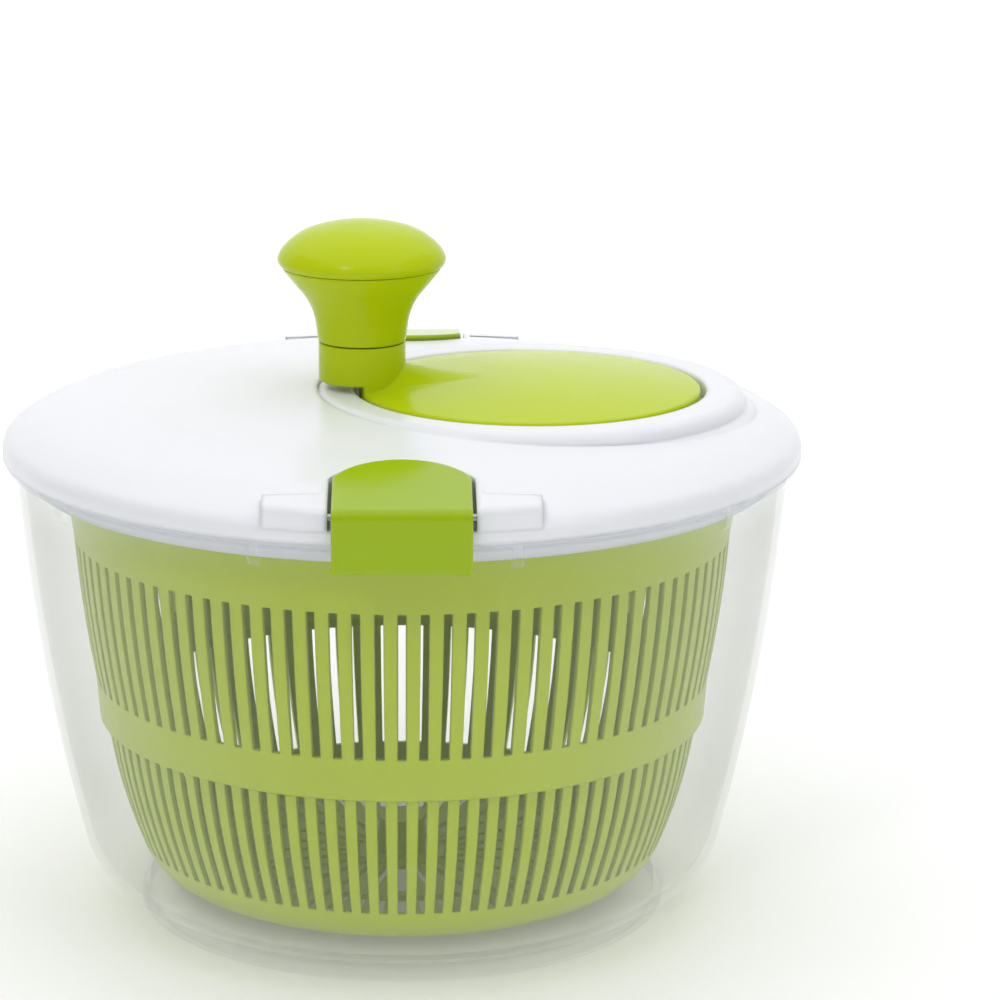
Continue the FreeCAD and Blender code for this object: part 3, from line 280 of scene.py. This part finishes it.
def turned_shell(form, profile, across, turns=160):
    """Turns a profile that starts and ends on its axis into a closed shell."""
    rings = []
    for radius, height in profile:
        if radius < 1e-6:
            rings.append([form.verts.new((across, 0.0, height))])
            continue
        rings.append([form.verts.new((across + radius * math.cos(2 * math.pi * turn / turns),
                                      radius * math.sin(2 * math.pi * turn / turns), height))
                      for turn in range(turns)])
    for first, second in zip(rings, rings[1:]):
        for turn in range(turns):
            after = (turn + 1) % turns
            corners = [first[turn % len(first)], first[after % len(first)],
                       second[after % len(second)], second[turn % len(second)]]
            form.faces.new(list(dict.fromkeys(corners)))


def disc_shell(form):
    """The domed disc with its skirt, hub and the stub of its shaft."""
    rim = DISC_R - DISC_EDGE_CURVE
    top = [(rim * step / 24, crown_z(rim * step / 24)) for step in range(25)]
    edge = corner_arc(rim, DISC_EDGE_Z - DISC_EDGE_CURVE, DISC_EDGE_CURVE, 90, 0)[1:]
    under = [(DISC_R, DISC_LOW_Z), (DISC_R - DISC_WALL, DISC_LOW_Z),
             (DISC_R - DISC_WALL, DISC_EDGE_Z - DISC_WALL),
             (HUB_R, DISC_EDGE_Z + DISC_CROWN - DISC_WALL - HUB_ROOF_GAP),
             (HUB_R, HUB_LOW_Z), (SHAFT_R, HUB_LOW_Z),
             (SHAFT_R, HUB_LOW_Z - SHAFT_STUB), (0.0, HUB_LOW_Z - SHAFT_STUB)]
    turned_shell(form, top + edge + under, 0.0)


def collar_shell(form):
    """The round collar under the knob, with softened edges."""
    low = corner_arc(COLLAR_R - 0.7, COLLAR_LOW_Z + 0.7, 0.7, -90, 0)
    high = corner_arc(COLLAR_R - 0.5, COLLAR_TOP_Z - 0.5, 0.5, 0, 90)
    turned_shell(form, [(0.0, COLLAR_LOW_Z)] + low + high + [(0.0, COLLAR_TOP_Z)], COLLAR_X, 96)


def root_shell(form):
    """The part of the collar that stands in the disc, cut off at the disc's edge."""
    turns = 96
    outline = []
    for turn in range(turns):
        angle = 2 * math.pi * turn / turns
        spot = Vector((COLLAR_X + COLLAR_R * math.cos(angle), COLLAR_R * math.sin(angle)))
        if spot.length > DISC_R - 0.1:
            spot = spot.normalized() * (DISC_R - 0.1)
        outline.append(spot)
    low = [form.verts.new((spot.x, spot.y, DISC_EDGE_Z - 1.6)) for spot in outline]
    high = [form.verts.new((spot.x, spot.y, COLLAR_LOW_Z + 1.0)) for spot in outline]
    form.faces.new(low)
    form.faces.new(high)
    for turn in range(turns):
        after = (turn + 1) % turns
        form.faces.new([low[turn], low[after], high[after], high[turn]])


def arm_shell(form):
    """The arm: a smooth ridge that falls from the collar into the disc."""
    along_steps, across_steps = 56, 40
    top, bottom = [], []
    for step in range(along_steps + 1):
        share = step / along_steps
        half = ARM_ROOT_HALF + (ARM_TIP_HALF - ARM_ROOT_HALF) * share
        rise = ARM_HEIGHT * (1 - share) ** ARM_FALL * (1 - ARM_LEAN * share)
        top_row, bottom_row = [], []
        for place in range(across_steps + 1):
            side = -1 + 2 * place / across_steps
            x = ARM_START + ARM_LENGTH * share
            y = half * side
            disc = crown_z(math.hypot(x, y))
            ridge = rise * (1 - abs(side) ** RIDGE_CROWN) ** RIDGE_FOOT
            top_row.append(form.verts.new((x, y, disc + ridge - 0.05)))
            bottom_row.append(form.verts.new((x, y, disc - ARM_DEPTH)))
        top.append(top_row)
        bottom.append(bottom_row)
    for step in range(along_steps):
        for place in range(across_steps):
            for rows in (top, bottom):
                form.faces.new([rows[step][place], rows[step + 1][place],
                                rows[step + 1][place + 1], rows[step][place + 1]])
    for step in range(along_steps):
        for place in (0, across_steps):
            form.faces.new([top[step][place], top[step + 1][place],
                            bottom[step + 1][place], bottom[step][place]])
    for step in (0, along_steps):
        for place in range(across_steps):
            form.faces.new([top[step][place], top[step][place + 1],
                            bottom[step][place + 1], bottom[step][place]])


def shell_object(name, build):
    """One closed shell as an object, with its faces turned outwards."""
    form = bmesh.new()
    build(form)
    bmesh.ops.recalc_face_normals(form, faces=form.faces[:])
    bmesh.ops.scale(form, vec=(MM, MM, MM), verts=form.verts[:])
    bmesh.ops.translate(form, vec=(CRANK_X * MM, 0.0, 0.0), verts=form.verts[:])
    mesh = bpy.data.meshes.new(name)
    form.to_mesh(mesh)
    form.free()
    piece = bpy.data.objects.new(name, mesh)
    bpy.context.scene.collection.objects.link(piece)
    return piece


def make_crank(material):
    """Joins the disc, collar and arm into one skin."""
    crank = shell_object("crank_disc_form", disc_shell)
    for name, build in (("crank_root", root_shell), ("crank_collar", collar_shell), ("crank_arm", arm_shell)):
        other = shell_object(name, build)
        union = crank.modifiers.new(name, "BOOLEAN")
        union.operation = "UNION"
        union.solver = "EXACT"
        union.object = other
        bpy.context.view_layer.update()
        joined = bpy.data.meshes.new_from_object(crank.evaluated_get(bpy.context.evaluated_depsgraph_get()))
        crank.modifiers.clear()
        crank.data = joined
        bpy.data.objects.remove(other)
    crank.data.shade_smooth()
    crank.data.set_sharp_from_angle(angle=math.radians(38))
    crank.data.materials.clear()
    crank.data.materials.append(material)
    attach(crank, "crank")
    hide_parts("crank_disc")


make_crank(bpy.data.materials["green_crank"])


# -------------------------------------------------------------------------------------- floor and backdrop

def pale_stage():
    """A pale sweep: a level floor that curves up behind, and stays pale far from the lights."""
    front, back, half, rise, bend = -9.0, 2.2, 9.0, 3.0, 0.8
    profile = [(front, 0.0), (back - bend, 0.0)]
    steps = 16
    for step in range(1, steps + 1):
        angle = math.pi / 2 * step / steps
        profile.append((back - bend + bend * math.sin(angle), bend - bend * math.cos(angle)))
    profile.append((back, rise))
    corners = [(side, along, up) for along, up in profile for side in (-half, half)]
    faces = [(2 * row, 2 * row + 1, 2 * row + 3, 2 * row + 2) for row in range(len(profile) - 1)]
    mesh = bpy.data.meshes.new("sweep")
    mesh.from_pydata(corners, [], faces)
    mesh.shade_smooth()
    sweep = bpy.data.objects.new("sweep", mesh)
    bpy.context.scene.collection.objects.link(sweep)
    material, tree, shader, place = new_material("pale_floor")
    tone = ranged(tree, noise(tree, place, 3.0, 2.0), 0.0, 1.0)
    pale = two_colours(tree, tone, (0.93, 0.93, 0.93), (0.95, 0.95, 0.95))
    tree.links.new(pale, shader.inputs["Base Color"])
    shader.inputs["Roughness"].default_value = 0.6
    shader.inputs["Emission Color"].default_value = (1.0, 1.0, 1.0, 1.0)
    reach = tree.nodes.new("ShaderNodeVectorMath")
    reach.operation = "LENGTH"
    tree.links.new(place, reach.inputs[0])
    ray = tree.nodes.new("ShaderNodeLightPath")
    far = tree.nodes.new("ShaderNodeMath")
    far.operation = "MULTIPLY_ADD"
    tree.links.new(ranged(tree, reach.outputs["Value"], 0.0, 0.55, 1.2, 4.0), far.inputs[0])
    tree.links.new(ray.outputs["Is Camera Ray"], far.inputs[1])
    far.inputs[2].default_value = 0.12
    tree.links.new(far.outputs["Value"], shader.inputs["Emission Strength"])
    mesh.materials.append(material)


# ------------------------------------------------------------------------------------------------- lights

def softbox(name, place, aim, width, height, power, colour=(1.0, 1.0, 1.0)):
    """A rectangular soft light that faces a point."""
    light = bpy.data.lights.new(name, "AREA")
    light.shape = "RECTANGLE"
    light.size = width
    light.size_y = height
    light.energy = power
    light.color = colour
    lamp = bpy.data.objects.new(name, light)
    lamp.location = place
    lamp.rotation_euler = (Vector(aim) - Vector(place)).to_track_quat("-Z", "Y").to_euler()
    bpy.context.scene.collection.objects.link(lamp)


def white_room():
    """The even light of a white studio, and pale walls where the stage ends."""
    world = bpy.data.worlds.new("white_room")
    world.use_nodes = True
    tree = world.node_tree
    light = tree.nodes["Background"]
    light.inputs["Color"].default_value = (0.96, 0.98, 1.0, 1.0)
    light.inputs["Strength"].default_value = 0.30
    walls = tree.nodes.new("ShaderNodeBackground")
    walls.inputs["Color"].default_value = (1.0, 1.0, 1.0, 1.0)
    ray = tree.nodes.new("ShaderNodeLightPath")
    seen = tree.nodes.new("ShaderNodeMixShader")
    tree.links.new(ray.outputs["Is Camera Ray"], seen.inputs[0])
    tree.links.new(light.outputs["Background"], seen.inputs[1])
    tree.links.new(walls.outputs["Background"], seen.inputs[2])
    tree.links.new(seen.outputs["Shader"], tree.nodes["World Output"].inputs["Surface"])
    bpy.context.scene.world = world


# ------------------------------------------------------------------------------------------------- camera

def set_camera():
    """Looks slightly down on the spinner from the front, with the spinner left of the middle."""
    aim = Vector((0.0, 0.0, 0.129))
    distance = 1.1503
    elevation = math.radians(14.304)
    camera = bpy.data.cameras.new("camera")
    camera.lens = 131.07
    camera.sensor_width = 36.0
    camera.shift_x = 0.098
    camera.clip_end = 50.0
    eye = bpy.data.objects.new("camera", camera)
    eye.location = aim + distance * Vector((0.0, -math.cos(elevation), math.sin(elevation)))
    eye.rotation_euler = (aim - eye.location).to_track_quat("-Z", "Y").to_euler()
    bpy.context.scene.collection.objects.link(eye)
    bpy.context.scene.camera = eye


pale_stage()
white_room()
softbox("key", (-0.7, -1.5, 1.5), (0.0, 0.0, 0.12), 0.26, 0.30, 4.5)
softbox("fill", (1.2, -1.0, 0.9), (0.0, 0.0, 0.12), 0.4, 0.8, 1.8)
softbox("ceiling", (0.0, 0.3, 3.0), (0.0, 0.3, 0.0), 6.0, 6.0, 125.0)
set_camera()
bpy.context.scene.view_settings.view_transform = "Standard"
